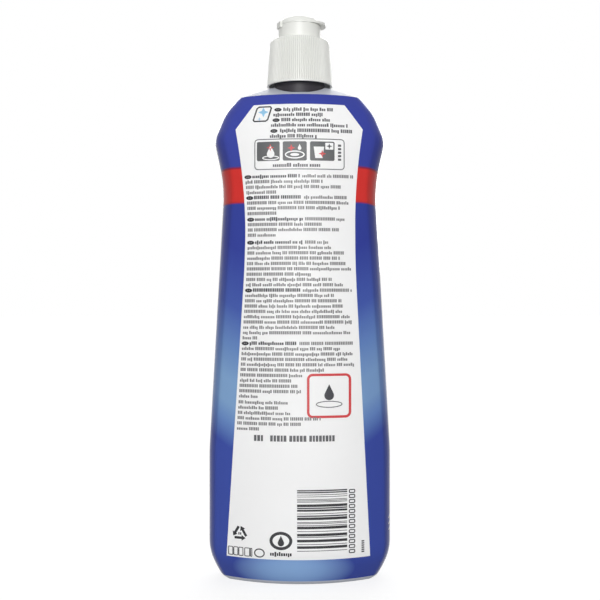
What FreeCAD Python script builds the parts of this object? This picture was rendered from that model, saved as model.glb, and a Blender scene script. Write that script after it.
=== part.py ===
# Dishwasher rinse aid bottle: a blow-moulded bottle in a full-length shrink sleeve, closed by a
# ribbed flip-top screw closure. Millimetres, +Z up, origin at the centre of the standing face.
# The back panel faces -Y and the bottle is wide along X. Each solid is one node in parts/.
import FreeCAD
import Part

import math
import os
from collections import namedtuple

Vector = FreeCAD.Vector
UP = Vector(0, 0, 1)
ORIGIN = Vector(0, 0, 0)
ROUND_STEPS = 10  # flats in a turned quarter round
CORNER_SHARE = 0.48  # how much of a straight run one rounding may take
CREASE_SHARE = 0.7  # largest crease radius, as a share of the side's own radius
LOFT_STEP = 30.0  # tallest gap between two outlines of one loft
LOFT_LEAST = 1.2  # shortest loft

# ---------------------------------------------------------------- bottle body
body_half_width = 46.7
body_half_depth = 26.8
heel_draft = 0.2  # how much shallower the heel is than the hip

# Plan outline at each level: a wide bowed face front and back, a bowed side left and right, and
# a soft crease between them. rise is the height above the level before.
Level = namedtuple(
    "Level", "rise half_width width_round half_depth depth_round face_radius crease_inset crease_round"
)
FOOT = Level(0.0, 38.6, 0, 18.8, 0, 66, 3.0, 3.0)
EDGE = Level(1.6, 40.9, 3, 20.6, 3, 67, 3.0, 3.0)
HEEL = Level(11.8, body_half_width, 25, body_half_depth - heel_draft, 25, 75, 3.6, 3.0)
HIP = Level(52.6, body_half_width, 120, body_half_depth, 120, 76, 4.2, 3.0)
WAIST = Level(135.8, 39.0, 85, 26.0, 200, 76, 6.1, 3.0)
SHOULDER = Level(23.1, 44.2, 13, 25.3, 40, 80, 6.1, 3.0)
BEVEL = Level(14.2, 38.4, 45, 19.4, 60, 70, 6.4, 4.0)
CROWN = Level(7.7, 31.7, 3.5, 15.8, 4, 52, 8.0, 5.0)
ROOF = Level(5.0, 16.6, 0, 7.8, 0, 40, 5.0, 3.0)
LEVELS = [FOOT, EDGE, HEEL, HIP, WAIST, SHOULDER, BEVEL, CROWN, ROOF]

bottle_wall = 0.8
floor_thickness = 1.4
standing_ring = 6.0  # width of the ring that the bottle stands on
punt_slope = 2.5
punt_rise = 2.2  # the hollow under the foot

# ---------------------------------------------------------------- neck and thread
neck_radius = 13.0
neck_wall = 2.1
neck_height = 23.2  # above the roof
neck_sink = 5.4  # how far the neck runs down into the roof
thread_pitch = 4.23
thread_depth = 0.8
thread_root = 2.2
thread_crest = 1.0
thread_turns = 1.5
thread_below_mouth = 2.0  # from the top of the thread to the mouth
thread_embed = 0.5  # how far a thread is sunk into its own wall

# ---------------------------------------------------------------- sleeve and contents
sleeve_film = 0.2
sleeve_foot_gap = 2.0  # bare foot below the sleeve
sleeve_top_gap = 0.1  # bare shoulder between the sleeve and the crown's edge
liquid_gap = 0.2
headspace = 20.6  # from the liquid's surface up to the roof

# ---------------------------------------------------------------- closure
closure_wall = 1.05
thread_clearance = 0.4
cap_thread_depth = 0.85
cap_thread_root = 1.8
cap_thread_crest = 0.8
cap_thread_turns = 1.25
cap_thread_start = 90.0  # degrees that the cap's thread starts after the neck's
flank_clearance = 0.34
skirt_flare = 1.75  # how much wider the rim is than the top of the skirt
rim_gap = 1.6  # from the roof up to the rim
rim_band = 0.8  # plain band below the ribs
rib_count = 94
rib_depth = 0.3
rib_land = 0.5  # share of the rib pitch that is ridge
shoulder_round = 2.4
liner_thickness = 1.0
liner_clearance = 0.1
deck_thickness = 1.3
deck_slope = 0.2
plug_clearance = 0.3
plug_wall = 0.9
plug_depth = 3.0
tower_step = 0.1  # how far the tower stands outside the neck's bore
tower_height = 7.1
seat_gap = 0.1  # between the tower and the closed lid

# ---------------------------------------------------------------- nozzle and lid
orifice_radius = 1.75
nozzle_wall = 1.0
nozzle_draft = 0.3
nozzle_height = 2.6
locating_ring_height = 0.9
locating_ring_wall = 0.8
locating_clearance = 0.35
lid_wall = 1.1
lid_height = 4.7
lid_straight = 0.2  # upright part of the lid's side, below its dome
lid_flat_radius = 4.5
stopper_clearance = 0.45
stopper_bite = 1.1  # how far the stopper reaches into the nozzle
tab_reach = 2.65
tab_thickness = 1.1
tab_radius = 11.1
hinge_width = 6.0
hinge_lug = 0.5
hinge_lug_height = 1.5
hinge_film = 0.3  # thickness of the strap where it folds
closure_yaw = 18.0  # degrees from the X axis to the thumb tab, when closed

# ---------------------------------------------------------------- worked out heights and radii
heights = []
for level in LEVELS:
    heights.append((heights[-1] if heights else 0.0) + level.rise)
crown_height = heights[-2]
roof_height = heights[-1]
neck_top = roof_height + neck_height
bore_radius = neck_radius - neck_wall
thread_radius = neck_radius + thread_depth
thread_low = neck_top - thread_below_mouth - thread_root / 2 - thread_pitch * thread_turns
sleeve_top = crown_height - sleeve_top_gap
liquid_level = roof_height - headspace

rim_height = roof_height + rim_gap
liner_top = neck_top + liner_thickness
deck_top = liner_top + deck_thickness
cap_bore = thread_radius + thread_clearance
skirt_top_radius = cap_bore + closure_wall
skirt_rim_radius = skirt_top_radius + skirt_flare
tower_radius = bore_radius + tower_step
tower_foot = deck_top + deck_slope
tower_top = tower_foot + tower_height
lid_bottom = tower_top + seat_gap
lid_top = lid_bottom + lid_height
lid_bore = tower_radius - lid_wall
plug_radius = bore_radius - plug_clearance
plug_bore = plug_radius - plug_wall
nozzle_top = tower_top + nozzle_height
hinge_z = tower_top + seat_gap / 2


# ---------------------------------------------------------------- profiles and sections
def rounded(points):
    """A line through (height, size, corner radius) points, with its corners rounded, as a function."""
    pieces = []
    start = points[0][:2]
    for before, corner, after in zip(points, points[1:], points[2:]):
        run_in = Vector(corner[0] - before[0], corner[1] - before[1], 0)
        run_out = Vector(after[0] - corner[0], after[1] - corner[1], 0)
        turn = run_in.getAngle(run_out)
        room = CORNER_SHARE * min(run_in.Length, run_out.Length)
        cut = min(corner[2] * math.tan(turn / 2), room)
        if turn < 1e-6 or cut < 1e-6:
            pieces.append((start, corner[:2], None))
            start = corner[:2]
            continue
        radius = cut / math.tan(turn / 2)
        side = 1 if run_in.cross(run_out).z > 0 else -1
        run_in.normalize()
        run_out.normalize()
        first = (corner[0] - cut * run_in.x, corner[1] - cut * run_in.y)
        last = (corner[0] + cut * run_out.x, corner[1] + cut * run_out.y)
        centre = (first[0] - side * radius * run_in.y, first[1] + side * radius * run_in.x)
        pieces.append((start, first, None))
        pieces.append((first, last, (centre, radius, side)))
        start = last
    pieces.append((start, points[-1][:2], None))

    def size(height):
        for (z0, s0), (z1, s1), arc in pieces:
            if height <= z1 + 1e-9:
                break
        if arc:
            (zc, sc), radius, side = arc
            return sc - side * math.sqrt(max(0.0, radius**2 - (height - zc) ** 2))
        return s0 + (s1 - s0) * (height - z0) / (z1 - z0)

    size.ends = [piece[1][0] for piece in pieces]
    return size


def between_levels(name):
    """One column of the level table as a function of height, straight from level to level."""
    return rounded([(z, getattr(level, name), 0) for z, level in zip(heights, LEVELS)])


half_width = rounded([(z, level.half_width, level.width_round) for z, level in zip(heights, LEVELS)])
half_depth = rounded([(z, level.half_depth, level.depth_round) for z, level in zip(heights, LEVELS)])
face_radius = between_levels("face_radius")
crease_inset = between_levels("crease_inset")
crease_round = between_levels("crease_round")


def outline(height, grow=0.0, shrink=0.0):
    """Five points of a quarter outline, from the side round to the face.

    grow moves the outline evenly outward, and shrink takes the same off its half width and depth.
    """
    width, depth = half_width(height) - shrink, half_depth(height) - shrink
    face, inset = face_radius(height), crease_inset(height)
    crease_x = width - inset
    crease_y = depth - face + math.sqrt(face**2 - crease_x**2)
    side = (crease_y**2 + inset**2) / (2 * inset)
    soft = min(crease_round(height), CREASE_SHARE * side)
    face_centre, side_centre = Vector(0, depth - face, 0), Vector(width - side, 0, 0)
    apart = side_centre - face_centre
    along = ((face - soft) ** 2 - (side - soft) ** 2 + apart.Length**2) / (2 * apart.Length)
    across = math.sqrt((face - soft) ** 2 - along**2)
    apart.normalize()
    soft_centre = face_centre + apart * along + Vector(apart.y, -apart.x, 0) * across

    def at(centre, through, radius):
        return centre + (through - centre).normalize() * (radius + grow)

    on_side = at(side_centre, soft_centre, side)
    on_face = at(face_centre, soft_centre, face)
    on_crease = at(soft_centre, (on_side + on_face) * 0.5, soft)
    return [Vector(width + grow, 0, 0), on_side, on_crease, on_face, Vector(0, depth + grow, 0)]


def section(points, height):
    """A closed wire of eight arcs through a quarter outline and its mirror images."""
    side, on_side, on_crease, on_face, face = points

    def place(p, sx, sy):
        return Vector(p.x * sx, p.y * sy, height)

    arcs = []
    for sx, sy, nx, ny in ((1, 1, -1, 1), (-1, 1, -1, -1), (-1, -1, 1, -1), (1, -1, 1, 1)):
        first, last, middle = on_side, on_face, face
        if sx * sy < 0:
            first, last, middle = on_face, on_side, side
        arcs.append(Part.Arc(place(first, sx, sy), place(on_crease, sx, sy), place(last, sx, sy)))
        arcs.append(Part.Arc(place(last, sx, sy), place(middle, sx, sy), place(last, nx, ny)))
    return Part.Wire([arc.toShape() for arc in arcs])


def breaks(low, high):
    """The heights where one loft ends and the next begins: the ends of the roundings of the outline."""
    picked = [low]
    for z in sorted(set(half_width.ends + half_depth.ends)):
        if z - picked[-1] > LOFT_LEAST and high - z > LOFT_LEAST:
            picked.append(z)
    return picked + [high]


def body(low, high, grow=0.0, sink=0.0):
    """A solid through the outlines from low to high. sink lowers the roof, for an inside."""
    solid = None
    levels = breaks(low, high)
    for z0, z1 in zip(levels, levels[1:]):
        steps = max(2, math.ceil((z1 - z0) / LOFT_STEP))
        wires = []
        for i in range(steps + 1):
            z = z0 + (z1 - z0) * i / steps
            share = min(1.0, max(0.0, (z - heights[-3]) / (crown_height - heights[-3])))
            wires.append(section(outline(z, grow), z - sink * share))
        slab = Part.makeLoft(wires, True, False)
        solid = solid.fuse(slab) if solid else slab
    return solid


# ---------------------------------------------------------------- small helpers
def cylinder(radius, low, high):
    return Part.makeCylinder(radius, high - low, Vector(0, 0, low))


def tube(outer, inner, low, high):
    return cylinder(outer, low, high).cut(cylinder(inner, low, high))


def turned(points):
    """A solid of revolution about Z from (radius, height) points."""
    corners = [Vector(r, 0, z) for r, z in points]
    return Part.Face(Part.makePolygon(corners + corners[:1])).revolve(ORIGIN, UP, 360)


def thread(radius, low, turns, root, crest, depth):
    """A right-hand helical ridge, sunk into its own wall. depth is negative for an inward ridge."""
    sunk = radius - math.copysign(thread_embed, depth)
    flare = (root - crest) / 2 * thread_embed / abs(depth)
    corners = [
        Vector(sunk, 0, low - root / 2 - flare),
        Vector(radius + depth, 0, low - crest / 2),
        Vector(radius + depth, 0, low + crest / 2),
        Vector(sunk, 0, low + root / 2 + flare),
    ]
    helix = Part.makeLongHelix(thread_pitch, thread_pitch * turns, radius)
    helix.translate(Vector(0, 0, low))
    profile = Part.makePolygon(corners + corners[:1])
    return Part.Wire(helix).makePipeShell([profile], True, True)


# ---------------------------------------------------------------- bottle, sleeve and contents
def punt(grow=0.0):
    """The hollow under the foot, carried on below it, and grown upward and outward by grow."""
    low = section(outline(0, 0, standing_ring - punt_slope / 2 - grow), -punt_rise / 2)
    high = section(outline(0, 0, standing_ring + punt_slope - grow), punt_rise + grow)
    return Part.makeLoft([low, high], True, False)


def make_room():
    """The space inside the bottle, from the floor over the punt up to the mouth."""
    room = body(floor_thickness, roof_height, -bottle_wall, bottle_wall)
    room = room.fuse(cylinder(bore_radius, roof_height - neck_sink - bottle_wall, neck_top))
    return room.cut(punt(floor_thickness))


def make_bottle(outside, room):
    neck = cylinder(neck_radius, roof_height - neck_sink, neck_top)
    ridge = thread(neck_radius, thread_low, thread_turns, thread_root, thread_crest, thread_depth)
    return outside.fuse(neck).fuse(ridge).cut(room).cut(punt())


def make_sleeve(outside):
    """The printed film, shrunk on the bottle from just above the foot to the edge of the crown."""
    film = body(sleeve_foot_gap, sleeve_top, sleeve_film).cut(outside)
    return film.cut(cylinder(neck_radius, roof_height - neck_sink, neck_top))


def make_liquid():
    """The contents, a little clear of the wall, with a level surface."""
    low = floor_thickness + liquid_gap
    contents = body(low, liquid_level, -bottle_wall - liquid_gap)
    return contents.cut(punt(floor_thickness + liquid_gap))


# ---------------------------------------------------------------- closure
def ribbed_ring(radius, height):
    """The skirt's outline at one height: ridges at the radius and grooves rib_depth below it."""
    pitch = 2 * math.pi / rib_count
    points = []
    for i in range(rib_count):
        for turn, r in ((-rib_land / 2, radius), (rib_land / 2, radius), (0.5, radius - rib_depth)):
            angle = (i + turn) * pitch
            points.append(Vector(r * math.cos(angle), r * math.sin(angle), height))
    return Part.makePolygon(points + points[:1])


def skirt_radius(height):
    share = (height - rim_height) / (deck_top - rim_height)
    return skirt_rim_radius - skirt_flare * share


def quarter_round(centre_radius, centre_height, radius, rise):
    """Points of a quarter ellipse, from its side up to its top, for a turned profile."""
    angles = [math.pi / 2 * i / ROUND_STEPS for i in range(ROUND_STEPS + 1)]
    return [
        (centre_radius + radius * math.cos(a), centre_height + rise * math.sin(a)) for a in angles
    ]


def make_skirt():
    """The ribbed, flared skirt with its deck, still solid inside."""
    top = deck_top - shoulder_round
    edge = quarter_round(skirt_radius(top) - shoulder_round, top, shoulder_round, shoulder_round)
    rim = [(0, rim_height), (skirt_rim_radius, rim_height)]
    blank = turned(rim + edge + [(tower_radius, tower_foot), (0, tower_foot)])
    low = rim_height + rim_band
    ribs = Part.makeLoft([ribbed_ring(skirt_radius(z), z) for z in (low, tower_foot)], True, True)
    return blank.common(ribs.fuse(cylinder(skirt_rim_radius, rim_height, low)))


def make_cap_thread():
    """The inner ridge that hangs under the neck's thread and follows it as the cap turns."""
    flank = (thread_root - thread_crest) / 2 / thread_depth
    overlap = cap_bore - cap_thread_depth - neck_radius
    drop = (thread_root + cap_thread_crest) / 2 - flank * overlap
    drop += flank_clearance * math.sqrt(1 + flank**2)
    low = thread_low - drop + thread_pitch * cap_thread_start / 360
    ridge = thread(
        cap_bore, low, cap_thread_turns, cap_thread_root, cap_thread_crest, -cap_thread_depth
    )
    ridge.rotate(ORIGIN, UP, cap_thread_start)
    return ridge


def make_cap():
    """Skirt, deck and tower in one moulding, with the thread, the plug, the seat ring and the spout."""
    cap = make_skirt().fuse(cylinder(tower_radius, tower_foot, tower_top))
    flare_top = thread_low - thread_root
    flare = [(0, rim_height), (skirt_rim_radius - closure_wall, rim_height), (cap_bore, flare_top)]
    cap = cap.cut(cylinder(cap_bore, rim_height, liner_top))
    cap = cap.cut(turned(flare + [(0, flare_top)]))
    cap = cap.fuse(make_cap_thread())
    cap = cap.fuse(tube(plug_radius, plug_bore, neck_top - plug_depth, deck_top))
    cap = cap.cut(cylinder(plug_bore, neck_top - plug_depth, tower_top - deck_thickness))
    ring = lid_bore - locating_clearance
    cap = cap.fuse(tube(ring, ring - locating_ring_wall, tower_top, tower_top + locating_ring_height))
    spout_radius = orifice_radius + nozzle_wall
    spout_foot = spout_radius + nozzle_draft
    cap = cap.fuse(Part.makeCone(spout_foot, spout_radius, nozzle_height, Vector(0, 0, tower_top)))
    return cap.cut(cylinder(orifice_radius, tower_top - deck_thickness, nozzle_top))


def make_liner():
    """The flat seal ring between the deck and the mouth, round the plug."""
    return tube(cap_bore - liner_clearance, plug_radius + liner_clearance, neck_top, liner_top)


def make_lid():
    """The flip top: a shallow dome with a stopper inside and a thumb tab opposite the hinge."""
    side_top = lid_bottom + lid_straight
    rise = lid_top - side_top
    dome = quarter_round(lid_flat_radius, side_top, tower_radius - lid_flat_radius, rise)
    hollow = quarter_round(lid_flat_radius, side_top, lid_bore - lid_flat_radius, rise - lid_wall)
    shell = turned([(0, lid_bottom), (tower_radius, lid_bottom)] + dome + [(0, lid_top)])
    hollow = turned([(0, lid_bottom), (lid_bore, lid_bottom)] + hollow + [(0, lid_top - lid_wall)])
    tab = Part.makeCylinder(tab_radius, tab_thickness, Vector(tab_reach, 0, lid_bottom))
    tab = tab.cut(cylinder(lid_bore, lid_bottom, lid_top))
    stopper = cylinder(orifice_radius - stopper_clearance, nozzle_top - stopper_bite, lid_top - lid_wall)
    lid = shell.cut(hollow).fuse(tab).fuse(stopper)
    lid.rotate(ORIGIN, UP, closure_yaw)
    return lid


def make_hinge():
    """The living hinge: a lug on the tower and a lug on the lid, joined by a film at their outside."""
    outside = tower_radius + hinge_lug
    low, high = hinge_z - hinge_lug_height, hinge_z + hinge_lug_height
    strap = Part.makeBox(outside, hinge_width, high - low, Vector(-outside, -hinge_width / 2, low))
    fold_corner = Vector(hinge_film - outside, -hinge_width / 2, tower_top)
    fold = Part.makeBox(outside, hinge_width, seat_gap, fold_corner)
    strap = strap.cut(cylinder(tower_radius, low, high)).cut(fold)
    strap.rotate(ORIGIN, UP, closure_yaw)
    return strap


# ---------------------------------------------------------------- build
def build():
    outside = body(0, roof_height)
    pieces = {
        "bottle": make_bottle(outside, make_room()),
        "shrink_sleeve": make_sleeve(outside),
        "rinse_aid_liquid": make_liquid(),
        "seal_liner": make_liner(),
        "screw_cap": make_cap(),
        "flip_lid": make_lid(),
        "living_hinge": make_hinge(),
    }
    os.makedirs("parts", exist_ok=True)
    for name, shape in pieces.items():
        if len(shape.Solids) != 1 or not shape.isValid():
            raise ValueError(name + " is not one valid solid")
        shape.Solids[0].exportStep("parts/" + name + ".step")
        print(name, round(shape.Volume / 1000, 2), "cubic centimetres")
    return pieces


if __name__ == "__main__":
    build()
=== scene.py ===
# Looks of a dishwasher rinse aid bottle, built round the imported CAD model. The print is laid out in
# millimetres in the model's own frame and pressed on the bottle's skin; Blender's units are metres.
import math
import random

import bmesh
import bpy
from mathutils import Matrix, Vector
from mathutils.bvhtree import BVHTree


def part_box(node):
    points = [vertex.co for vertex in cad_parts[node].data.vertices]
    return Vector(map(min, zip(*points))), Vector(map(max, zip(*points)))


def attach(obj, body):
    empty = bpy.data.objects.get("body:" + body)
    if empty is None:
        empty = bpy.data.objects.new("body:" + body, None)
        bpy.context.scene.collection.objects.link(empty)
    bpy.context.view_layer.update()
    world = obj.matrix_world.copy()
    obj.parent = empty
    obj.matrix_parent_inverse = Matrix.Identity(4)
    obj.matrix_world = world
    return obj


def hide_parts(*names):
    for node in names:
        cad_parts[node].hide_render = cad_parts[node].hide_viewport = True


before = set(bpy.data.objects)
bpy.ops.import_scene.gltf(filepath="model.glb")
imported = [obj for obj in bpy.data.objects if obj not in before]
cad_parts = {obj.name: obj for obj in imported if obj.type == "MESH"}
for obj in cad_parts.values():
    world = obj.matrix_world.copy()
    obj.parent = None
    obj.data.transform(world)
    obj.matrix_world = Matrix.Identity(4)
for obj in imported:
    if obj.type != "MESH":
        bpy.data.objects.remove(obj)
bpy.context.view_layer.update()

MM = 0.001
UP = Vector((0, 0, 1))
BACK = Vector((0, -1, 0))
FRONT = Vector((0, 1, 0))
RIGHT_SIDE = Vector((1, 0, 0))

# ---------------------------------------------------------------- driving sizes, in millimetres
FILM_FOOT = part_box("shrink_sleeve")[0][2] / MM
FILM_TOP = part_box("shrink_sleeve")[1][2] / MM
FILM_LAYER = (0.02, 0.14)  # inside and outside of the film, above the bottle's skin
PANEL_LAYER = (0.10, 0.17)  # this and the next likewise, each print above the one before
INK_LAYER = (0.14, 0.195)
OVERPRINT_LAYER = (0.15, 0.21)
TOP_LAYER = (0.16, 0.225)
ROW_STEP = 1.3  # between rows of points up the film and the panel
RING_POINTS = 240
CELL = 1.5  # largest cell of the print, so that it follows the skin

RED_BAND = (191.3, 209.2)
BAND_EDGE = 0.7  # width of the band's dark rim
BAND_BLEND = 0.2
BAND_TILT = 0.0075  # climb to the right, per millimetre
BAND_DROOP = 0.006  # extra droop past BAND_TURN, per square millimetre
BAND_TURN = 26.0
TINT_REACH = 46.0  # the film is paler towards the left edge, this far from the middle
GLOW_HEIGHT = 8.5
GLOW_MIDDLE = -3.0
GLOW_HALF_WIDTH = 31.0
GLOW_HALF_HEIGHT = 12.0
FADE_TILT = 0.04  # how much the pale field sinks to the left, per millimetre
ARCH = 0.0096  # how fast the lower blue's edge climbs away from the middle, per millimetre

PANEL_FOOT = 13.9
PANEL_SHOULDER = 228.5
PANEL_TOP = 241.2
PANEL_TOP_HALF_WIDTH = 22.9
PANEL_WAIST = 178.0
PANEL_WAIST_HALF_WIDTH = 27.4
PANEL_BOW_ABOVE = 0.0018  # widening away from the waist, per square millimetre
PANEL_BOW_BELOW = 0.0010
PANEL_TAPER = 0.058  # widening per millimetre further down
PANEL_COLUMNS = 52
PANEL_MIDDLES = ((PANEL_FOOT, -0.7), (PANEL_WAIST, 0.3), (PANEL_SHOULDER, -0.3))  # height, place

TEXT_MARGIN = 1.3  # from the panel's edge to the small print
LINE_PITCH = 2.64
SMALL_HEIGHT = 1.6
TITLE_LENGTH = 24.0

NECK_REACH = 13.9  # painted shade makes the bottle darker inside this radius, above NECK_FOOT
NECK_FOOT = 248.3
NECK_FADE = 14.0  # height over which it comes back to grey
NECK_DARK_SHARE = 0.32  # of that height, the painted shade stays at its darkest
RIB_COUNT = 94
RIB_REACH = 14.9  # only the skirt lies outside this radius
RIB_FOOT = 254.3
RIB_SHADE = 0.24  # how much of the painted shade in the grooves shows
RIB_SHARPNESS = 4.0  # higher makes the lines of painted groove shade thinner
SHOULDER_FOOT = 275.3  # above this the painted groove shade runs in over the skirt's round
SHOULDER_REACH = 12.9


# ---------------------------------------------------------------- the bottle's skin
def skin_tree(node):
    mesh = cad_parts[node].data
    faces = [tuple(face.vertices) for face in mesh.polygons]
    return BVHTree.FromPolygons([vertex.co.copy() for vertex in mesh.vertices], faces)


SKIN = skin_tree("bottle")
REACH = 0.2  # where rays start, in metres from the axis
FEEL = 0.4  # how far apart, in millimetres, the skin is felt for its slope


def touch(u, z, out):
    """The skin's point seen square on from the side that out points to, u rightward and z up."""
    start = (UP.cross(out) * u + UP * z) * MM + out * REACH
    return SKIN.ray_cast(start, -out)[0]


def on_skin(u, z, lift, out):
    """The same point, lifted square off the skin."""
    place = touch(u, z, out)
    across = touch(u + FEEL, z, out) - touch(u - FEEL, z, out)
    upward = touch(u, z + FEEL, out) - touch(u, z - FEEL, out)
    return place + across.cross(upward).normalized() * lift * MM


def steps_between(low, high, step):
    count = max(1, round((high - low) / step))
    return [low + (high - low) * i / count for i in range(count + 1)]


# ---------------------------------------------------------------- node helpers
def srgb(r, g, b):
    """Linear colour from screen values of 0 to 255."""
    out = []
    for value in (r, g, b):
        v = value / 255
        out.append(v / 12.92 if v <= 0.04045 else ((v + 0.055) / 1.055) ** 2.4)
    return (*out, 1.0)


BLACK = (0.0, 0.0, 0.0, 1.0)
WHITE = (1.0, 1.0, 1.0, 1.0)


def new_material(name, roughness, shine=0.5):
    mat = bpy.data.materials.new(name)
    mat.use_nodes = True
    shader = mat.node_tree.nodes["Principled BSDF"]
    shader.inputs["Roughness"].default_value = roughness
    shader.inputs["Specular IOR Level"].default_value = shine
    return mat, mat.node_tree, shader


def add_node(tree, kind, **settings):
    node = tree.nodes.new("ShaderNode" + kind)
    for key, value in settings.items():
        if key in node.inputs:
            node.inputs[key].default_value = value
        else:
            setattr(node, key, value)
    return node


def feed(tree, socket, value):
    """Sets a socket to a constant or links an output to it."""
    if isinstance(value, (int, float, tuple)):
        socket.default_value = value
    else:
        tree.links.new(value, socket)


def calc(tree, operation, *values):
    node = add_node(tree, "Math", operation=operation)
    for socket, value in zip(node.inputs, values):
        feed(tree, socket, value)
    return node.outputs[0]


def object_place(tree):
    """The object's own coordinates in metres, whole and split."""
    coords = add_node(tree, "TexCoord")
    split = add_node(tree, "SeparateXYZ")
    tree.links.new(coords.outputs["Object"], split.inputs[0])
    return coords.outputs["Object"], split.outputs


def noise(tree, where, scale, detail=3.0):
    node = add_node(tree, "TexNoise", Scale=scale, Detail=detail)
    tree.links.new(where, node.inputs["Vector"])
    return node.outputs["Fac"]


def ramp(tree, value, stops):
    """A colour ramp through (position, colour) stops."""
    node = add_node(tree, "ValToRGB")
    elements = node.color_ramp.elements
    while len(elements) < len(stops):
        elements.new(0.5)
    for element, (position, colour) in zip(elements, stops):
        element.position = position
        element.color = colour
    tree.links.new(value, node.inputs["Fac"])
    return node.outputs["Color"]


def mix(tree, factor, a, b, blend="MIX"):
    node = add_node(tree, "Mix", data_type="RGBA", blend_type=blend)
    for index, value in ((0, factor), (6, a), (7, b)):
        feed(tree, node.inputs[index], value)
    return node.outputs[2]


def bump(tree, shader, height, strength, distance):
    node = add_node(tree, "Bump", Strength=strength, Distance=distance)
    tree.links.new(height, node.inputs["Height"])
    tree.links.new(node.outputs["Normal"], shader.inputs["Normal"])


def paint_clouded(tree, shader, where, colour, scale, darkest):
    """Feeds the shader this colour, a little darker here and there."""
    low = (darkest, darkest, darkest, 1.0)
    cloud = ramp(tree, noise(tree, where, scale), [(0.3, low), (0.7, WHITE)])
    tree.links.new(mix(tree, 1.0, colour, cloud, "MULTIPLY"), shader.inputs["Base Color"])


def off_axis(tree, x, y):
    """Distance from the model's upright axis."""
    squares = [calc(tree, "MULTIPLY", side, side) for side in (x, y)]
    return calc(tree, "SQRT", calc(tree, "ADD", *squares))


def clouded(name, colour, roughness, spread=0.03, scale=60.0, grain=900.0, depth=0.0, shine=0.4):
    """Ink, foam or plastic: slight cloudiness in the colour and a fine grain of some depth."""
    mat, tree, shader = new_material(name, roughness, shine)
    where, _ = object_place(tree)
    dark = tuple(c * (1 - spread) for c in colour[:3]) + (1.0,)
    pale = tuple(min(1.0, c * (1 + spread)) for c in colour[:3]) + (1.0,)
    tint = ramp(tree, noise(tree, where, scale), [(0.3, dark), (0.7, pale)])
    tree.links.new(tint, shader.inputs["Base Color"])
    if depth:
        bump(tree, shader, noise(tree, where, grain, 2.0), depth, 0.00005)
    return mat


# ---------------------------------------------------------------- colours and materials
BLUE_UPPER = srgb(66, 77, 168)
BLUE_LOWER = srgb(66, 84, 168)
BLUE_DEEP = srgb(59, 72, 160)
BLUE_RISING = srgb(76, 98, 177)
BLUE_MIDDLE = srgb(109, 144, 200)
BLUE_PALE = srgb(131, 167, 209)
BLUE_GLOW = srgb(151, 190, 235)
SIDE_SHADE = (0.62, 0.68, 0.88, 1.0)  # painted shade: the film is darker where it turns the corner to face sideways
RED_SIDE_SHADE = (0.92, 0.76, 0.76, 1.0)
TURN_STARTS = 0.7  # how far sideways the film faces where that begins, and where it is full
TURN_ENDS = 0.92
RIGHT_TINT = (0.86, 0.86, 0.93, 1.0)
RED = srgb(216, 57, 53)
RED_RIM = srgb(128, 44, 74)
BOTTLE_GREY = srgb(196, 200, 210)
# painted shade for the foot of the neck, under the cap's rim
NECK_SHADE = srgb(52, 49, 55)
CLOSURE_WHITE = srgb(238, 239, 234)
# painted shade for the grooves between the cap's ribs
GROOVE_SHADE_GREY = srgb(104, 105, 102)


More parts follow.
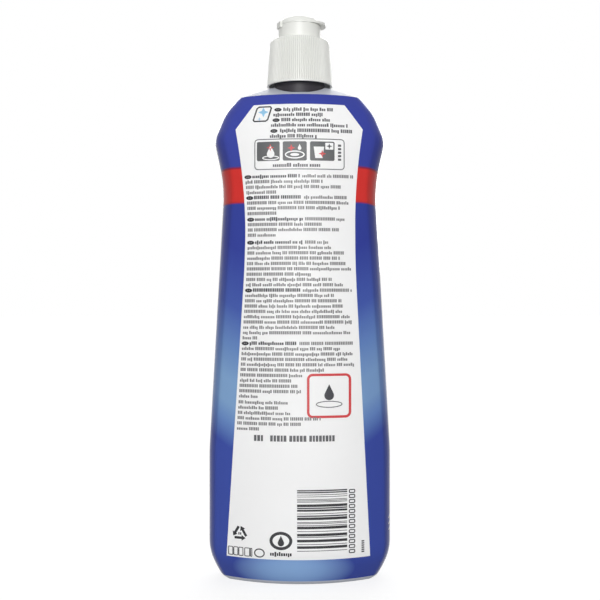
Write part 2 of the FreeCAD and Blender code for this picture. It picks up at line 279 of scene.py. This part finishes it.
def film_material():
    """Printed film: blue with a red band, paling to a glow above an arched lower field, with painted
    shade where it faces sideways.
    """
    mat, tree, shader = new_material("printed_film", 0.12, 0.04)
    where, (x, y, z) = object_place(tree)
    top = FILM_TOP * MM
    arch = calc(tree, "MULTIPLY", calc(tree, "MULTIPLY", x, x), ARCH / MM)
    sunk = calc(tree, "ADD", arch, calc(tree, "MULTIPLY", x, FADE_TILT))
    bowed = calc(tree, "DIVIDE", calc(tree, "SUBTRACT", z, sunk), top)

    def stops(*pairs):
        return [(mm / FILM_TOP, colour) for mm, colour in pairs]

    fade = ramp(
        tree,
        bowed,
        stops(
            (0, BLUE_LOWER),
            (58, BLUE_LOWER),
            (71, BLUE_MIDDLE),
            (80, BLUE_PALE),
            (92, BLUE_PALE),
            (109, BLUE_MIDDLE),
            (130, BLUE_RISING),
            (160, BLUE_DEEP),
        ),
    )
    low, high = RED_BAND
    past = calc(tree, "MAXIMUM", calc(tree, "SUBTRACT", x, BAND_TURN * MM), 0.0)
    droop = calc(tree, "MULTIPLY", calc(tree, "MULTIPLY", past, past), BAND_DROOP / MM)
    lean = calc(tree, "SUBTRACT", calc(tree, "MULTIPLY", x, BAND_TILT), droop)
    along = calc(tree, "DIVIDE", calc(tree, "SUBTRACT", z, lean), top)
    inside = ramp(
        tree,
        along,
        stops(
            (low - BAND_BLEND, BLACK), (low, WHITE), (high, WHITE), (high + BAND_BLEND, BLACK)
        ),
    )
    red = ramp(
        tree,
        along,
        stops((low, RED_RIM), (low + BAND_EDGE, RED), (high - BAND_EDGE, RED), (high, RED_RIM)),
    )
    above = calc(tree, "GREATER_THAN", along, high / FILM_TOP)
    blue = mix(tree, above, fade, BLUE_UPPER)
    aside = calc(tree, "SUBTRACT", x, GLOW_MIDDLE * MM)
    spread = calc(tree, "POWER", calc(tree, "DIVIDE", aside, GLOW_HALF_WIDTH * MM), 2.0)
    rise = calc(tree, "SUBTRACT", z, GLOW_HEIGHT * MM)
    climb = calc(tree, "POWER", calc(tree, "DIVIDE", rise, GLOW_HALF_HEIGHT * MM), 2.0)
    glow = ramp(tree, calc(tree, "ADD", spread, climb), [(0.0, WHITE), (1.0, BLACK)])
    across = calc(tree, "MULTIPLY_ADD", x, 0.5 / (TINT_REACH * MM), 0.5)
    tint = ramp(tree, across, [(0.0, WHITE), (1.0, RIGHT_TINT)])
    facing = add_node(tree, "SeparateXYZ")
    tree.links.new(add_node(tree, "TexCoord").outputs["Normal"], facing.inputs[0])
    sideways = calc(tree, "ABSOLUTE", facing.outputs["X"])

    # painted shade on the film where it faces sideways, on the blue and the red alike
    def side_shaded(colour, painted_shade):
        shade_there = ramp(tree, sideways, [(TURN_STARTS, WHITE), (TURN_ENDS, painted_shade)])
        return mix(tree, 1.0, colour, shade_there, "MULTIPLY")

    blue = mix(tree, 1.0, mix(tree, glow, blue, BLUE_GLOW), tint, "MULTIPLY")
    colour = mix(tree, inside, side_shaded(blue, SIDE_SHADE), side_shaded(red, RED_SIDE_SHADE))
    paint_clouded(tree, shader, where, colour, 40.0, 0.96)
    bump(tree, shader, noise(tree, where, 120.0, 4.0), 0.05, 0.0002)
    return mat


WHITE_INK = clouded(
    "panel_white", srgb(250, 250, 250), 0.45, 0.01, 50.0, grain=200.0, depth=0.04, shine=0.2
)
SOFT_INK = clouded("small_print_grey", srgb(121, 120, 121), 0.4, 0.06, 300.0)
FIRM_INK = clouded("firm_print_grey", srgb(88, 88, 91), 0.4, 0.06, 300.0)
DARK_INK = clouded("bold_print_dark", srgb(52, 52, 58), 0.4, 0.06, 300.0)
BLACK_INK = clouded("print_black", srgb(34, 34, 38), 0.4, 0.05, 300.0)
GREY_INK = clouded("pictogram_grey", srgb(84, 86, 88), 0.4, 0.05, 200.0)
RED_INK = clouded("accent_red", srgb(206, 62, 66), 0.4, 0.04, 200.0)
PALE_INK = clouded("icon_blue", srgb(150, 200, 232), 0.4, 0.08, 400.0)


# ---------------------------------------------------------------- meshes
def add_piece(name, verts, faces, material):
    """A printed piece that rides on the bottle."""
    mesh = bpy.data.meshes.new(name)
    mesh.from_pydata(verts, [], faces)
    mesh.validate()
    mesh.shade_smooth()
    mesh.set_sharp_from_angle(angle=math.radians(40))
    mesh.materials.append(material)
    piece = bpy.data.objects.new(name, mesh)
    bpy.context.scene.collection.objects.link(piece)
    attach(piece, "bottle")
    return piece


def skin_ring(z):
    """Points round the bottle's skin at one height, from rays aimed at the axis."""
    corner = Vector(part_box("bottle")[1])
    ring = []
    for i in range(RING_POINTS):
        turn = 2 * math.pi * i / RING_POINTS
        aim = Vector((corner.x * math.cos(turn), corner.y * math.sin(turn), 0))
        start = aim * 3 + UP * z * MM
        ring.append(SKIN.ray_cast(start, -aim.normalized())[0])
    return ring


def make_sleeve():
    """The film: a thin closed shell whose inside has a quarter of the rows."""
    heights = steps_between(FILM_FOOT, FILM_TOP, ROW_STEP)
    rows = [skin_ring(z) for z in heights]
    last = len(rows) - 1

    def lifted(r, lift):
        ring = []
        for i, place in enumerate(rows[r]):
            along = rows[r][(i + 1) % RING_POINTS] - rows[r][i - 1]
            upward = rows[min(r + 1, last)][i] - rows[max(r - 1, 0)][i]
            ring.append(place + along.cross(upward).normalized() * lift * MM)
        return ring

    rings = [lifted(r, FILM_LAYER[1]) for r in range(last + 1)]
    inner = sorted(set(range(0, last + 1, 4)) | {last}, reverse=True)
    rings += [lifted(r, FILM_LAYER[0]) for r in inner]
    faces = []
    for r in range(len(rings)):
        up = (r + 1) % len(rings)
        for i in range(RING_POINTS):
            j = (i + 1) % RING_POINTS
            faces.append([k * RING_POINTS + n for k, n in ((r, i), (r, j), (up, j), (up, i))])
    verts = [place for ring in rings for place in ring]
    sleeve = add_piece("printed_sleeve", verts, faces, film_material())
    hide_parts("shrink_sleeve")


def panel_half_width(z):
    """Half the back panel's width: bowed about the waist, then a straight taper to the foot."""
    if z > PANEL_SHOULDER:
        share = (z - PANEL_SHOULDER) / (PANEL_TOP - PANEL_SHOULDER)
        wide = panel_half_width(PANEL_SHOULDER)
        return wide + (PANEL_TOP_HALF_WIDTH - wide) * share
    rise = z - PANEL_WAIST
    if rise > 0:
        return PANEL_WAIST_HALF_WIDTH + PANEL_BOW_ABOVE * rise**2
    curved = min(-rise, PANEL_TAPER / (2 * PANEL_BOW_BELOW))
    return PANEL_WAIST_HALF_WIDTH + PANEL_BOW_BELOW * curved**2 - PANEL_TAPER * (rise + curved)


def panel_middle(z):
    """How far right the panel's middle lies at one height."""
    (z0, u0), (z1, u1), (z2, u2) = PANEL_MIDDLES
    if z > z1:
        return u1 + (u2 - u1) * min(1.0, (z - z1) / (z2 - z1))
    return u0 + (u1 - u0) * (z - z0) / (z1 - z0)


def closed_sheet(columns, rows):
    """Faces of two stacked grids of (columns + 1) by rows points, joined all round their edge."""
    width = columns + 1
    count = width * rows
    faces = []
    for r in range(rows - 1):
        for i in range(columns):
            a = r * width + i
            quad = [a, a + 1, a + width + 1, a + width]
            faces.append(quad)
            faces.append([v + count for v in reversed(quad)])
    rim = list(range(width)) + [r * width + columns for r in range(1, rows)]
    rim += [(rows - 1) * width + i for i in range(columns - 1, -1, -1)]
    rim += [r * width for r in range(rows - 2, 0, -1)]
    for a, b in zip(rim, rim[1:] + rim[:1]):
        faces.append([b, a, a + count, b + count])
    return faces


def make_panel():
    """The white back panel, a closed thin sheet on the film."""
    heights = steps_between(PANEL_FOOT, PANEL_SHOULDER, ROW_STEP)
    heights += steps_between(PANEL_SHOULDER, PANEL_TOP, ROW_STEP)[1:]
    verts = []
    for lift in reversed(PANEL_LAYER):
        for z in heights:
            half = panel_half_width(z)
            for i in range(PANEL_COLUMNS + 1):
                u = panel_middle(z) + half * (2 * i / PANEL_COLUMNS - 1)
                verts.append(on_skin(u, z, lift, BACK))
    add_piece("back_panel", verts, closed_sheet(PANEL_COLUMNS, len(heights)), WHITE_INK)


def signed_area(polygon):
    pairs = zip(polygon, polygon[1:] + polygon[:1])
    return sum(u0 * z1 - u1 * z0 for (u0, z0), (u1, z1) in pairs) / 2


def flat_net(polygons):
    """The polygons as one flat mesh, cut into cells small enough to follow the skin."""
    net = bmesh.new()
    for polygon in polygons:
        points = polygon if signed_area(polygon) > 0 else polygon[::-1]
        net.faces.new([net.verts.new((u, z, 0)) for u, z in points])
    bmesh.ops.remove_doubles(net, verts=net.verts[:], dist=1e-4)
    for axis, across in ((0, Vector((1, 0, 0))), (1, Vector((0, 1, 0)))):
        values = [vertex.co[axis] for vertex in net.verts]
        for i in range(math.floor(min(values) / CELL), math.ceil(max(values) / CELL) + 1):
            parts = net.verts[:] + net.edges[:] + net.faces[:]
            cut = across * (i * CELL)
            bmesh.ops.bisect_plane(net, geom=parts, dist=1e-5, plane_co=cut, plane_no=across)
    bmesh.ops.triangulate(net, faces=net.faces[:])
    net.verts.index_update()
    return net


def printed(name, polygons, material, layer=INK_LAYER, out=BACK):
    """Flat shapes, as lists of (u, z) points, pressed on one side as thin closed slabs."""
    net = flat_net(polygons)
    points = [vertex.co.xy.copy() for vertex in net.verts]
    count = len(points)
    faces = []
    for face in net.faces:
        corners = [vertex.index for vertex in face.verts]
        faces.append(corners)
        faces.append([i + count for i in reversed(corners)])
    for edge in net.edges:
        if len(edge.link_faces) == 1:
            loop = edge.link_loops[0]
            a, b = loop.vert.index, loop.link_loop_next.vert.index
            faces.append([b, a, a + count, b + count])
    net.free()
    low, high = layer
    verts = [on_skin(p.x, p.y, high, out) for p in points]
    verts += [on_skin(p.x, p.y, low, out) for p in points]
    add_piece(name, verts, faces, material)


# ---------------------------------------------------------------- flat shapes for the print
def box(u0, z0, u1, z1):
    return [(u0, z0), (u1, z0), (u1, z1), (u0, z1)]


def ellipse(cu, cz, ru, rz, steps=24, start=0.0, end=360.0):
    """Points along an ellipse, from start to end in degrees; all round, the last is left out."""
    count = steps + (end - start < 360)
    angles = [math.radians(start + (end - start) * i / steps) for i in range(count)]
    return [(cu + ru * math.cos(a), cz + rz * math.sin(a)) for a in angles]


def rounded_box(u0, z0, u1, z1, radius, steps=5):
    points = []
    for cu, cz, start in (
        (u1 - radius, z0 + radius, -90),
        (u1 - radius, z1 - radius, 0),
        (u0 + radius, z1 - radius, 90),
        (u0 + radius, z0 + radius, 180),
    ):
        points += ellipse(cu, cz, radius, radius, steps, start, start + 90)
    return points


def toward(a, b):
    """Unit direction from a to b, as a Vector."""
    return (Vector(b) - Vector(a)).normalized()


def stroke(points, width, closed=False):
    """Quads that follow a line with an even width."""
    count = len(points)
    sides = []
    for i, here in enumerate(points):
        before = points[i - 1] if i or closed else None
        after = points[(i + 1) % count] if i + 1 < count or closed else None
        run_in = toward(before, here) if before else toward(here, after)
        run_out = toward(here, after) if after else run_in
        along = (run_in + run_out).normalized()
        reach = width / 2 / max(0.5, run_in.dot(along))
        offset = Vector((-along.y, along.x)) * reach
        sides.append((Vector(here) + offset, Vector(here) - offset))
    quads = []
    for i in range(count if closed else count - 1):
        (a, b), (c, d) = sides[i], sides[(i + 1) % count]
        quads.append([tuple(p) for p in (a, c, d, b)])
    return quads


def drop(cu, cz, radius, steps=16):
    """A plain drop with its point up."""
    return ellipse(cu, cz, radius, radius, steps, -205, 25) + [(cu, cz + radius * 2.3)]


def sparkle(cu, cz, reach, waist=0.25):
    """A four-pointed star with drawn-in sides."""
    points = []
    for i in range(8):
        r = reach if i % 2 == 0 else reach * waist
        angle = math.radians(90 + 45 * i)
        points.append((cu + r * math.cos(angle), cz + r * math.sin(angle)))
    return points


# ---------------------------------------------------------------- small print
# Each paragraph: height of its first line, whether it opens with an oval mark and a bold title, and
# the right ends of its lines.
PARAGRAPHS = [
    (203.4, True, (26.6, 12.0, 21.0, -11.2)),
    (192.9, True, (23.3, 24.7, 20.4, -11.3)),
    (182.1, True, (23.0, 11.2, 19.4, -11.3)),
    (170.6, True, (14.5, 15.5, 22.0, 20.0, 23.5, 26.0, 6.0, 16.4, 22.3)),
    (146.8, True, (26.0, 17.5, 21.3, 22.0, 21.0, 25.3, 26.0, 18.1, 26.4, -21.0)),
    (120.4, True, (27.0, 20.3, 26.6, 23.7, 27.2, 12.2)),
    (104.5, False, (1.5, -4.1, -1.0, 0.6, -20.8)),
    (91.0, False, (-5.5, -10.7, -4.2, 10.6, 1.3, -19.6)),
]
# Each line above the pictograms: left end, right end, height and, for some, where its oval mark is.
TOP_LINES = [
    (-8.2, 17.3, 238.0, -10.9),
    (-13.2, 11.8, 235.2, None),
    (-9.2, 15.5, 232.4, -11.8),
    (-14.3, 24.5, 229.6, None),
    (-9.8, 27.0, 226.7, -12.8),
    (-14.8, 8.4, 223.9, None),
]
WORD_LENGTHS = (3, 3, 4, 5, 5, 6, 7, 8, 9, 11, 13, 17)  # in blocks
# Sizes of a block, as shares of its line's height, and chances.
BLOCK_WIDTH = (0.34, 0.5)
SHORTEST_BLOCK = 0.35
BLOCK_GAP = 0.13
WORD_GAP = 0.36
LOW_BLOCK = 0.72
TAIL = 0.24
TALL_CHANCE = 0.28
TAIL_CHANCE = 0.12


def words(u0, u1, z, height, rng, capitals=0.2):
    """A row of small upright blocks in words that stands for a line of small print."""
    blocks = []
    u = u0
    tall = rng.random() < capitals
    left = rng.choice(WORD_LENGTHS)
    while u < u1 - SHORTEST_BLOCK * height:
        wide = height * rng.uniform(*BLOCK_WIDTH)
        top = height if tall or rng.random() < TALL_CHANCE else height * LOW_BLOCK
        foot = -TAIL * height if not tall and rng.random() < TAIL_CHANCE else 0.0
        blocks.append(box(u, z + foot, min(u + wide, u1), z + top))
        u += wide + height * BLOCK_GAP
        left -= 1
        if left == 0:
            u += height * WORD_GAP
            tall = rng.random() < capitals
            left = rng.choice(WORD_LENGTHS)
    return blocks


def oval_mark(u, z):
    """A dark oval with two small pale blocks in it, as a pair of shape lists."""
    pale = [box(u + side - 0.1, z - 0.2, u + side + 0.1, z + 0.2) for side in (-0.45, 0.45)]
    return [ellipse(u, z, 1.8, 0.98)], pale


def make_small_print():
    rng = random.Random(7)
    plain, firm, strong, ovals, pale = [], [], [], [], []
    for u0, u1, z, oval in TOP_LINES:
        firm += words(u0, u1, z - 0.6, 1.8, rng, 0.08)
        if oval is not None:
            dark, light = oval_mark(oval, z + 0.1)
            ovals += dark
            pale += light
    for top, titled, ends in PARAGRAPHS:
        for i, end in enumerate(ends):
            z = top - i * LINE_PITCH
            start = TEXT_MARGIN + panel_middle(z) - panel_half_width(z)
            if titled and i == 0:
                dark, light = oval_mark(start + 1.5, z + 0.65)
                ovals += dark
                pale += light
                start += 3.7
                turn = start + min(TITLE_LENGTH, 0.7 * (end - start))
                strong += words(start, turn, z, SMALL_HEIGHT * 1.06, rng, 0.4)
                start = turn + 0.8
            plain += words(start, end, z, SMALL_HEIGHT, rng, 0.42)
    for u0, u1 in ((-22.7, -16.2), (-14.6, 19.5)):
        firm += words(u0, u1, 72.6, 3.0, rng, 1.0)
    printed("small_print", plain, SOFT_INK)
    printed("firm_print", firm, FIRM_INK)
    printed("bold_print", strong, DARK_INK)
    printed("ovals", ovals, BLACK_INK)
    printed("oval_marks", pale, WHITE_INK, OVERPRINT_LAYER)


# ---------------------------------------------------------------- pictograms, marks and barcode
def make_pictograms():
    """Three dark squares in a thin frame: a drop over a dish, a washed plate, and a glass."""
    frame_line = stroke(rounded_box(-22.3, 207.6, 22.1, 222.6, 1.6), 0.45, True)
    printed("pictogram_frame", frame_line, FIRM_INK)
    low, high = 211.8, 221.4
    squares = [(-21.3, -9.9), (-8.4, 3.5), (5.1, 17.3)]
    printed("pictogram_squares", [rounded_box(a, low, b, high, 0.8) for a, b in squares], GREY_INK)
    white, red = [], []
    for cu, cz in ((-14.6, 218.4), (-4.2, 218.1), (11.2, 215.3)):
        red.append(sparkle(cu, cz, 1.9, 0.36))
    (a, b), (c, d), (e, f) = squares
    middle = (a + b) / 2 + 1.2
    white.append(drop(middle, low + 3.4, 1.9))
    white += stroke(ellipse(middle, low + 1.5, 4.0, 0.9), 0.45, True)
    middle = (c + d) / 2
    white += stroke(ellipse(middle, low + 3.0, 4.6, 1.7, 28), 0.6, True)
    white.append(ellipse(middle, low + 3.0, 2.2, 0.75))
    white.append(drop(middle + 2.4, low + 6.2, 0.9))
    foot, brim = low + 1.3, high - 2.6
    white.append([(e + 2.6, foot), (e + 6.2, foot), (e + 7.0, brim), (e + 1.8, brim)])
    white.append(rounded_box(f - 4.6, high - 4.0, f - 0.6, high - 0.6, 0.3))
    printed("pictogram_white", white, WHITE_INK, OVERPRINT_LAYER)
    printed("pictogram_red", red, RED_INK, OVERPRINT_LAYER)
    mark = sparkle(f - 2.6, high - 2.3, 1.5, 0.35)
    printed("pictogram_mark", [mark], GREY_INK, TOP_LAYER)
    caption = words(-13.3, 10.6, 208.7, 1.9, random.Random(3), 0.0)
    caption += [box(19.0, 212.0 + i * 1.75, 20.6, 213.1 + i * 1.75) for i in range(5)]
    printed("pictogram_caption", caption, FIRM_INK)


def make_tilted_icon():
    corners = [(-23.5, 232.2), (-16.2, 232.2), (-14.0, 239.9), (-21.2, 239.9)]
    outline = []
    for i, corner in enumerate(corners):
        for other in (corners[i - 1], corners[(i + 1) % 4]):
            outline.append(tuple(Vector(corner) + toward(corner, other) * 0.8))
    printed("icon_frame", stroke(outline, 0.72, True), BLACK_INK)
    sparkles = [sparkle(-18.2, 237.0, 2.7, 0.42), sparkle(-20.2, 233.4, 1.2)]
    printed("icon_sparkles", sparkles, PALE_INK)


def make_red_square():
    cu, cz, half = 14.6, 95.2, 10.4
    outline = rounded_box(cu - half, cz - half, cu + half, cz + half, 2.2)
    printed("red_square", stroke(outline, 1.25, True), RED_INK)
    dish = stroke(ellipse(cu, cz - 4.2, 6.4, 1.5, 32), 0.4, True)
    printed("drop_and_dish", [drop(cu, cz + 0.2, 2.4)] + dish, DARK_INK)


def make_barcode():
    """Bars of random thickness that encode nothing, with a column of rounded boxes beside them."""
    rng = random.Random(11)
    u0, u1, z0, z1 = -1.3, 23.6, 18.3, 49.0
    module = (z1 - z0) / 95  # the thinnest bar
    bars = []
    z = z0
    while z < z1 - module:
        thick = module * rng.choice((1, 1, 1, 1, 2, 3, 4))
        bars.append(box(u0, z, u1, min(z + thick, z1)))
        z += thick + module * rng.choice((1, 1, 2, 2, 3))
    printed("barcode_bars", bars, BLACK_INK)
    marks = []
    for i in range(13):
        foot = z0 - 1.6 + i * 2.5
        marks += stroke(rounded_box(24.7, foot, 27.4, foot + 1.5, 0.4, 3), 0.52, True)
    marks += [box(30.9, 16.4 + i * 1.05, 32.3, 17.1 + i * 1.05) for i in range(6)]
    printed("barcode_marks", marks, DARK_INK)


def make_foot_marks():
    """Three arrows round a triangle, a row of blocks, a ring, and a drop in a ring."""
    cu, cz, reach = -29.9, 26.0, 4.4
    corners = ellipse(cu, cz, reach, reach, 3, 90, 450)
    shapes = []
    for i, corner in enumerate(corners):
        ahead = toward(corner, corners[(i + 1) % 3])
        start = Vector(corner) + ahead * 1.1
        stop = Vector(corner) + ahead * 4.7
        across = Vector((-ahead.y, ahead.x)) * 1.45
        shapes += stroke([tuple(start), tuple(stop)], 1.25)
        shapes.append([tuple(p) for p in (stop + across, stop - across, stop + ahead * 2.1)])
    for side in (-0.75, 0.15):
        shapes.append(box(cu + side, cz - 0.7, cu + side + 0.6, cz + 0.5))
    blocks = ((-35.7, -33.5), (-33.0, -30.9), (-30.4, -28.3), (-27.4, -24.9), (-24.5, -23.8))
    for u0, u1 in blocks:
        shapes += stroke(rounded_box(u0, 14.9, u1, 19.0, 0.3, 2), 0.42, True)
    shapes += stroke(ellipse(-20.0, 16.9, 2.4, 2.0, 28), 0.6, True)
    shapes += stroke(ellipse(-9.3, 23.4, 4.9, 3.8, 40), 1.5, True)
    shapes.append(drop(-9.3, 22.3, 1.6))
    shapes += words(-14.7, -3.7, 15.9, 2.0, random.Random(5), 0.0)
    printed("foot_marks", shapes, BLACK_INK)


def make_front_art():
    """A plain stemmed glass with a drop and sparkles on the front, and strokes at one side."""
    rim_height, rim_reach = 150.0, 12.6
    bowl = ellipse(0, 128, 14.5, 27, 18, 180, 360)
    bowl = [(-rim_reach, rim_height)] + bowl + [(rim_reach, rim_height)]
    glass = stroke(bowl, 1.5) + stroke(ellipse(0, rim_height, rim_reach, 2.6, 36), 0.9, True)
    glass += stroke([(0, 101.4), (0, 80.5)], 2.2)
    glass += stroke(ellipse(0, 78.6, 12.0, 2.7, 36), 1.3, True)
    printed("front_glass", glass, WHITE_INK, INK_LAYER, FRONT)
    printed("front_drop", [drop(0, 120.5, 6.4, 24)], PALE_INK, INK_LAYER, FRONT)
    stars = ((-23.5, 157, 9.0), (22.0, 166, 6.5), (25.0, 139, 4.5), (-21.5, 132, 4.0))
    sparkles = [sparkle(u, z, r, 0.2) for u, z, r in stars]
    printed("front_sparkles", sparkles, WHITE_INK, INK_LAYER, FRONT)
    rng = random.Random(21)
    crest = ((0, 6.6), (-13, 4.4), (13, 4.4), (-23, 2.8), (23, 2.8))  # place and reach
    rows = [sparkle(u, 219.5, r, 0.24) for u, r in crest] + words(-19.0, 19.0, 184.0, 3.6, rng, 0.0)
    printed("front_rows", rows, WHITE_INK, INK_LAYER, FRONT)
    side = [stroke([(-7.6, z), (-4.0, z + 1.6)], 0.8)[0] for z in (25.0, 28.0, 31.0)]
    printed("side_strokes", side, WHITE_INK, INK_LAYER, RIGHT_SIDE)


# ---------------------------------------------------------------- CAD nodes
def finish_node(node, material):
    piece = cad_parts[node]
    if not piece.material_slots:
        piece.data.materials.append(material)
    for slot in piece.material_slots:
        slot.material = material


def closure_material():
    """Satin white moulding, with a little painted shade down in the grooves between the ribs."""
    mat, tree, shader = new_material("closure_white", 0.34, 0.35)
    where, (x, y, z) = object_place(tree)
    # painted shade: grey laid in the grooves between the ribs, by angle round the axis
    turn = calc(tree, "MULTIPLY", calc(tree, "ARCTAN2", y, x), float(RIB_COUNT))
    wave = calc(tree, "MULTIPLY_ADD", calc(tree, "COSINE", turn), -0.5, 0.5)
    groove = calc(tree, "POWER", wave, RIB_SHARPNESS)
    rounded = calc(tree, "GREATER_THAN", z, SHOULDER_FOOT * MM)
    reach = calc(tree, "MULTIPLY_ADD", rounded, (SHOULDER_REACH - RIB_REACH) * MM, RIB_REACH * MM)
    ribbed = calc(tree, "GREATER_THAN", off_axis(tree, x, y), reach)
    ribbed = calc(tree, "MULTIPLY", ribbed, calc(tree, "GREATER_THAN", z, RIB_FOOT * MM))
    shade = calc(tree, "MULTIPLY", calc(tree, "MULTIPLY", groove, ribbed), RIB_SHADE)
    colour = mix(tree, shade, CLOSURE_WHITE, GROOVE_SHADE_GREY)
    paint_clouded(tree, shader, where, colour, 70.0, 0.975)
    bump(tree, shader, noise(tree, where, 1200.0, 2.0), 0.08, 0.00005)
    return mat


def bottle_material():
    """Satin bottle plastic, with painted shade darkest at the foot of the neck and fading back to its
    own grey above.
    """
    mat, tree, shader = new_material("bottle_grey", 0.45, 0.25)
    where, (x, y, z) = object_place(tree)
    # painted shade round the foot of the neck, fading out higher up
    slim = calc(tree, "LESS_THAN", off_axis(tree, x, y), NECK_REACH * MM)
    high = calc(tree, "GREATER_THAN", z, NECK_FOOT * MM)
    climb = calc(tree, "DIVIDE", calc(tree, "SUBTRACT", z, NECK_FOOT * MM), NECK_FADE * MM)
    neck = ramp(tree, climb, [(0.0, NECK_SHADE), (NECK_DARK_SHARE, NECK_SHADE), (1.0, BOTTLE_GREY)])
    colour = mix(tree, calc(tree, "MULTIPLY", slim, high), BOTTLE_GREY, neck)
    paint_clouded(tree, shader, where, colour, 50.0, 0.95)
    bump(tree, shader, noise(tree, where, 700.0, 2.0), 0.1, 0.00005)
    return mat


def finish_cad():
    closure = closure_material()
    for node in ("screw_cap", "flip_lid", "living_hinge"):
        finish_node(node, closure)
    finish_node("bottle", bottle_material())
    liquid = clouded("rinse_aid", srgb(90, 140, 205), 0.1, 0.02, 20.0)
    foam = clouded("liner_foam", srgb(228, 230, 230), 0.7, 0.04, 400.0, grain=2500.0, depth=0.3)
    finish_node("rinse_aid_liquid", liquid)
    finish_node("seal_liner", foam)


# ---------------------------------------------------------------- floor, light and camera
FLOOR_GREY = srgb(140, 140, 140)
FLOOR_SHOWN = 0.81
AMBIENT_LOW = 0.1  # world light at the horizon
AMBIENT_HIGH = 0.54  # and well above it
FLOOR_HALF = 8.0  # metres
KEY_LIGHT = ("key", (-0.04, -1.0, 0.13), 2.75, 34)  # name, where it is, strength, spread in degrees
BACK_LIGHT = ("back", (0.1, 1.0, 0.5), 2.3, 50)
CAMERA_PLACE = (0.00015, -0.546, 0.1427)
CAMERA_LENS = 63.0
SENSOR_WIDTH = 36.0


def seen_ray(tree):
    """1 for camera, glossy and transmission rays, which show the white background."""
    path = add_node(tree, "LightPath").outputs
    mirrored = calc(tree, "MAXIMUM", path["Is Glossy Ray"], path["Is Transmission Ray"])
    return calc(tree, "MAXIMUM", path["Is Camera Ray"], mirrored)


def make_floor():
    """A pale floor that looks brighter than it lights, so that it runs into the background."""
    half = FLOOR_HALF
    corners = [(-half, -half, 0), (half, -half, 0), (half, half, 0), (-half, half, 0)]
    mesh = bpy.data.meshes.new("floor")
    mesh.from_pydata(corners, [], [(0, 1, 2, 3)])
    mat, tree, shader = new_material("floor_pale", 0.9)
    shader.inputs["Base Color"].default_value = FLOOR_GREY
    shader.inputs["Specular IOR Level"].default_value = 0.0
    shader.inputs["Emission Color"].default_value = WHITE
    shown = calc(tree, "MULTIPLY", seen_ray(tree), FLOOR_SHOWN)
    tree.links.new(shown, shader.inputs["Emission Strength"])
    mesh.materials.append(mat)
    floor = bpy.data.objects.new("floor", mesh)
    bpy.context.scene.collection.objects.link(floor)


def make_world():
    world = bpy.data.worlds.new("studio")
    world.use_nodes = True
    bpy.context.scene.world = world
    tree = world.node_tree
    background = tree.nodes["Background"]
    split = add_node(tree, "SeparateXYZ")
    tree.links.new(add_node(tree, "TexCoord").outputs["Generated"], split.inputs[0])
    low, high = ((level, level, level, 1.0) for level in (AMBIENT_LOW, AMBIENT_HIGH))
    soft = ramp(tree, split.outputs["Z"], [(0.15, low), (0.9, high)])
    tree.links.new(mix(tree, seen_ray(tree), soft, WHITE), background.inputs["Color"])


def add_sun(name, place, strength, spread):
    """Soft even light from far off in the direction of place."""
    data = bpy.data.lights.new(name, "SUN")
    data.energy = strength
    data.angle = math.radians(spread)
    lamp = bpy.data.objects.new(name, data)
    lamp.location = place
    lamp.rotation_euler = (-Vector(place)).to_track_quat("-Z", "Y").to_euler()
    bpy.context.scene.collection.objects.link(lamp)


def make_camera():
    data = bpy.data.cameras.new("camera")
    data.lens = CAMERA_LENS
    data.sensor_width = SENSOR_WIDTH
    camera = bpy.data.objects.new("camera", data)
    camera.location = CAMERA_PLACE
    camera.rotation_euler = (math.radians(90), 0, 0)
    bpy.context.scene.collection.objects.link(camera)
    bpy.context.scene.camera = camera


def build():
    make_sleeve()
    make_panel()
    make_small_print()
    make_pictograms()
    make_tilted_icon()
    make_red_square()
    make_barcode()
    make_foot_marks()
    make_front_art()
    finish_cad()
    make_floor()
    make_world()
    add_sun(*KEY_LIGHT)
    add_sun(*BACK_LIGHT)
    make_camera()
    bpy.context.scene.view_settings.view_transform = "Standard"


build()
bpy.context.view_layer.update()
